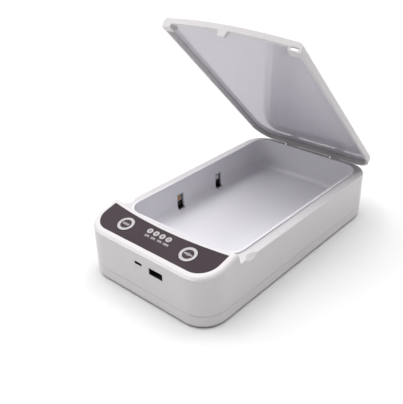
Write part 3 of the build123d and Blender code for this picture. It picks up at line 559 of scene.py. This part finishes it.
def rounded_outline(width, height, corner):
    """The outline of a rectangle with rounded corners, about the origin."""
    points = []
    for quarter, (side_u, side_v) in enumerate(((1, 1), (-1, 1), (-1, -1), (1, -1))):
        u0 = side_u * (width / 2 - corner)
        v0 = side_v * (height / 2 - corner)
        points += [(u0 + u, v0 + v) for u, v in arc(corner, 90 * quarter, 90 * quarter + 90)]
    return points


def bar(u0, v0, u1, v1, width):
    """The outline of a straight bar between two points."""
    along = Vector((u1 - u0, v1 - v0)).normalized()
    side = Vector((-along.y, along.x)) * width / 2
    corners = ((u0, v0, 1), (u0, v0, -1), (u1, v1, -1), (u1, v1, 1))
    return [(u + sign * side.x, v + sign * side.y) for u, v, sign in corners]


def scale_icon(heights):
    """A row of upright ticks, one for each height in mm."""
    first = -(len(heights) - 1) / 2 * TICK_PITCH
    ticks = []
    for i, height in enumerate(heights):
        u, half = first + i * TICK_PITCH, height * MM / 2
        ticks.append(bar(u, -half, u, half, TICK_WIDTH))
    return ticks


def control_markings(materials, panel):
    """The icons on the two buttons, and each indicator's ring and number."""
    pale = materials["ring_pale"]
    for side, ticks in zip(SIDES, (TIMER_TICKS, POWER_TICKS)):
        centre = panel.face_centre(f"button_cap_{side}")
        mesh = printed_shape(panel, scale_icon(ticks), centre, PRINT_THICKNESS)
        finish_piece(f"button_icon_{side}", mesh, f"button_{side}", pale)
    ring_shape = (INDICATOR_RING_INNER, INDICATOR_RING_OUTER, INDICATOR_RING_HEIGHT)
    for number in range(1, INDICATOR_COUNT + 1):
        centre = panel.face_centre(f"indicator_lens_{number}")
        ring = lathed_ring(panel, centre, *ring_shape)
        finish_piece(f"indicator_ring_{number}", ring, "case", pale)
        label = level_label(panel, number, centre)
        finish_piece(f"indicator_number_{number}", label, "case", pale)


def level_label(panel, number, centre):
    """The charge level printed in front of an indicator: 25, 50, 75 or 100 per cent."""
    text = bpy.data.curves.new("level_label", "FONT")
    text.body = f"{LEVEL_STEP * number}%"
    text.size = LABEL_SIZE
    text.align_x = "CENTER"
    text.align_y = "CENTER"
    text.extrude = LABEL_THICKNESS
    text.offset = LABEL_WEIGHT
    holder = bpy.data.objects.new("level_label", text)
    bpy.context.scene.collection.objects.link(holder)
    evaluated = holder.evaluated_get(bpy.context.evaluated_depsgraph_get())
    mesh = bpy.data.meshes.new_from_object(evaluated)
    bpy.data.objects.remove(holder)
    u0, v0, n0 = centre
    for vertex in mesh.vertices:
        u, v, n = vertex.co
        vertex.co = panel.point(u0 + LABEL_RIGHT + u, v0 - LABEL_AHEAD + v, n0 + n)
    return mesh


def block_mesh(low, high, bevel):
    """A box with softened edges, from its lowest and highest corners."""
    build = bmesh.new()
    size = high - low
    matrix = Matrix.Translation((low + high) / 2) @ Matrix.Diagonal((*size, 1))
    bmesh.ops.create_cube(build, size=1, matrix=matrix)
    edges = list(build.edges)
    bmesh.ops.bevel(build, geom=edges, offset=bevel, segments=2, affect="EDGES", profile=0.5)
    return to_mesh(build, "block")


def joined_meshes(name, meshes):
    """Several meshes as one."""
    build = bmesh.new()
    for mesh in meshes:
        build.from_mesh(mesh)
    return to_mesh(build, name)


def socket_contacts(materials):
    """The contact blades that lie along each socket's tongue."""
    # The darkened socket steel, whose colour is painted shade.
    steel = materials["socket_steel"]
    for name, count, pitch, width in SOCKET_CONTACTS:
        low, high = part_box(f"{name}_tongue")
        middle = (low.x + high.x) / 2
        blades = []
        for i in range(count):
            x = middle + (i - (count - 1) / 2) * pitch
            start = Vector((x - width / 2, low.y + BLADE_FRONT_GAP, low.z - BLADE_DROP))
            end = Vector((x + width / 2, high.y - BLADE_REAR_GAP, low.z + BLADE_SINK))
            blades.append(block_mesh(start, end, BLADE_BEVEL))
        mesh = joined_meshes("contacts", blades)
        finish_piece(f"{name}_contacts", mesh, "case", steel)


def socket_mouths(materials):
    """Each socket's steel mouth, which lines the opening in the front wall, in the darkened socket
    steel whose colour is painted shade.
    """
    steel = materials["socket_steel"]
    for name, corner in SOCKET_MOUTHS:
        low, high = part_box(f"{name}_socket")
        places = [vertex.co for vertex in NODES["upper_housing"].data.vertices]
        rim = [spot.y for spot in places if low.x < spot.x < high.x and low.z < spot.z < high.z]
        front, back = min(rim) + MOUTH_RECESS, low.y
        middle = (low + high) / 2
        rings = []
        for y, inset in ((back, 0), (front, 0), (front, MOUTH_METAL), (back, MOUTH_METAL)):
            spare = 2 * (MOUTH_INSET + inset)
            width, height = high.x - low.x - spare, high.z - low.z - spare
            outline = rounded_outline(width, height, corner - inset)
            rings.append([Vector((middle.x + x, y, middle.z + z)) for x, z in outline])
        mesh = ring_of_faces("socket_mouth", rings)
        finish_piece(f"{name}_mouth", mesh, "case", steel)


def magnet_plate(materials):
    """The bright plate on the lid's right magnet, sloped like the curved front of its block."""
    opening = math.radians(LID_OPENING)
    lid_front = Panel(Vector((0, -math.cos(opening), math.sin(opening))))
    centre = lid_front.face_centre("lid_magnet_right")
    outline = rounded_outline(PLATE_WIDTH, PLATE_HEIGHT, PLATE_CORNER)
    mesh = printed_shape(lid_front, [outline], centre, PLATE_THICKNESS)
    u0, _, n0 = centre
    for vertex in mesh.vertices:
        if vertex.co.dot(lid_front.n) > n0:
            vertex.co -= lid_front.n * PLATE_SLOPE * (vertex.co.dot(lid_front.u) - u0)
    finish_piece("lid_magnet_right_plate", mesh, "lid", materials["magnet"])


def diode_details(materials):
    """A raised frame round each diode's die, which is amber in front and silvered behind."""
    amber = moulded_plastic(
        "amber_die", (0.62, 0.24, 0.012), (0.50, 0.17, 0.008), smooth=0.4, rough=0.5,
        grain_scale=3000, grain_depth=0.004 * MM, edge=0.1 * MM,
    )
    ceramic_frame = materials["led_ceramic"]
    dies = (("front", "ribbon", amber), ("rear", "magnet", materials["magnet"]))
    for side, direction in zip(SIDES, (-1, 1)):
        for row, slot, material in dies:
            node = f"uv_led_{side}_{row}"
            low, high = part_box(node)
            inner = high.x if direction < 0 else low.x
            centre = Vector((inner, (low.y + high.y) / 2, (low.z + high.z) / 2))
            mesh = diode_frame(centre, direction)
            finish_piece(f"{node}_frame", mesh, "case", ceramic_frame)
            low, high = centre - DIODE_DIE_REACH, centre + DIODE_DIE_REACH
            die = block_mesh(low, high, DIODE_DIE_BEVEL)
            finish_piece(f"{node}_die", die, "case", material)


def diode_frame(centre, direction):
    """A square frame with a sloping inside, proud of the diode's face."""
    outer, inner, height = DIODE_FRAME_OUTER, DIODE_FRAME_INNER, DIODE_FRAME_HEIGHT
    sill = (inner + height, -height)
    levels = ((outer, DIODE_FRAME_SINK), (outer, -height), sill, (inner, 0.0))
    rings = []
    for half, depth in levels:
        x = centre.x + direction * depth
        corners = ((-half, -half), (half, -half), (half, half), (-half, half))
        rings.append([Vector((x, centre.y + dy, centre.z + dz)) for dy, dz in corners])
    return ring_of_faces("diode_frame", rings)


def board_components(materials):
    """Small resistors and capacitors in rows on the underside of the main board."""
    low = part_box("main_pcb")[0]
    chips = []
    for row, y in enumerate(CHIP_ROWS):
        size = CHIP_SIZE + CHIP_WIDER * row
        for i in range(CHIPS_IN_ROW):
            start = Vector((low.x + CHIP_START + CHIP_PITCH * i, y, low.z - CHIP_DROP))
            chips.append(block_mesh(start, start + size, CHIP_BEVEL))
    mesh = joined_meshes("parts", chips)
    finish_piece("main_pcb_parts", mesh, "case", materials["chip_black"])


# ==== Stage, light and camera ====

def studio_floor():
    """A wide pale floor under the object."""
    half = FLOOR_SIZE / 2
    mesh = bpy.data.meshes.new("floor")
    corners = [(-half, -half, 0), (half, -half, 0), (half, half, 0), (-half, half, 0)]
    mesh.from_pydata(corners, [], [(0, 1, 2, 3)])
    floor = bpy.data.objects.new("floor", mesh)
    bpy.context.scene.collection.objects.link(floor)
    material, tree, shader = new_material("studio_floor", Roughness=0.7, Specular_IOR_Level=0.2)
    color = mixed(tree, noise(tree, 6, 3), *FLOOR_COLORS)
    tree.links.new(color, shader.inputs["Base Color"])
    mesh.materials.append(material)


def outward(azimuth, elevation):
    """The direction away from the object at an azimuth, with 0 at the front, and an elevation."""
    around, up = math.radians(azimuth), math.radians(elevation)
    return Vector((math.sin(around) * math.cos(up), -math.cos(around) * math.cos(up), math.sin(up)))


def studio_light():
    """A ring of broad soft lights, each far away, in a dim room that is paler near the horizon."""
    world = bpy.data.worlds.new("studio")
    bpy.context.scene.world = world
    world.use_nodes = True
    tree = world.node_tree
    direction = tree.nodes.new("ShaderNodeTexCoord").outputs["Generated"]
    height = add_node(tree, "ShaderNodeSeparateXYZ", Vector=direction).outputs["Z"]
    strength = between(tree, height, HORIZON_STRENGTH, SKY_STRENGTH, HORIZON_END, SKY_START)
    background = tree.nodes["Background"]
    background.inputs["Color"].default_value = ROOM_COLOR
    tree.links.new(strength, background.inputs["Strength"])
    for name, azimuth, elevation, energy in SOFTBOXES:
        light = bpy.data.lights.new(name, "SUN")
        light.energy = energy
        light.angle = math.radians(SOFTBOX_ANGLE)
        lamp = bpy.data.objects.new(name, light)
        lamp.rotation_euler = outward(azimuth, elevation).to_track_quat("Z", "Y").to_euler()
        bpy.context.scene.collection.objects.link(lamp)
    bpy.context.scene.view_settings.view_transform = "Standard"


def place_camera():
    """A camera that looks at the target, with its roll about the view line."""
    roll = math.radians(CAMERA_ROLL)
    back = outward(CAMERA_AZIMUTH, CAMERA_ELEVATION)
    right = (-back).cross(Vector((0, 0, 1))).normalized()
    up = back.cross(right).normalized()
    turned_right = math.cos(roll) * right + math.sin(roll) * up
    turned_up = math.cos(roll) * up - math.sin(roll) * right
    data = bpy.data.cameras.new("camera")
    data.lens = CAMERA_LENS
    data.sensor_width = CAMERA_SENSOR
    data.clip_start = CAMERA_NEAR
    camera = bpy.data.objects.new("camera", data)
    bpy.context.scene.collection.objects.link(camera)
    spot = CAMERA_TARGET + back * CAMERA_DISTANCE
    camera.matrix_world = Matrix((
        (turned_right.x, turned_up.x, back.x, spot.x),
        (turned_right.y, turned_up.y, back.y, spot.y),
        (turned_right.z, turned_up.z, back.z, spot.z),
        (0, 0, 0, 1),
    ))
    bpy.context.scene.camera = camera


materials = make_materials()
paint_frame(materials)
press = next(joint for joint in RECORD["behaviour"]["joints"] if joint["type"] == "slide")
panel = Panel(-Vector(press["axis"]))
control_markings(materials, panel)
socket_contacts(materials)
socket_mouths(materials)
magnet_plate(materials)
diode_details(materials)
board_components(materials)
studio_floor()
studio_light()
place_camera()
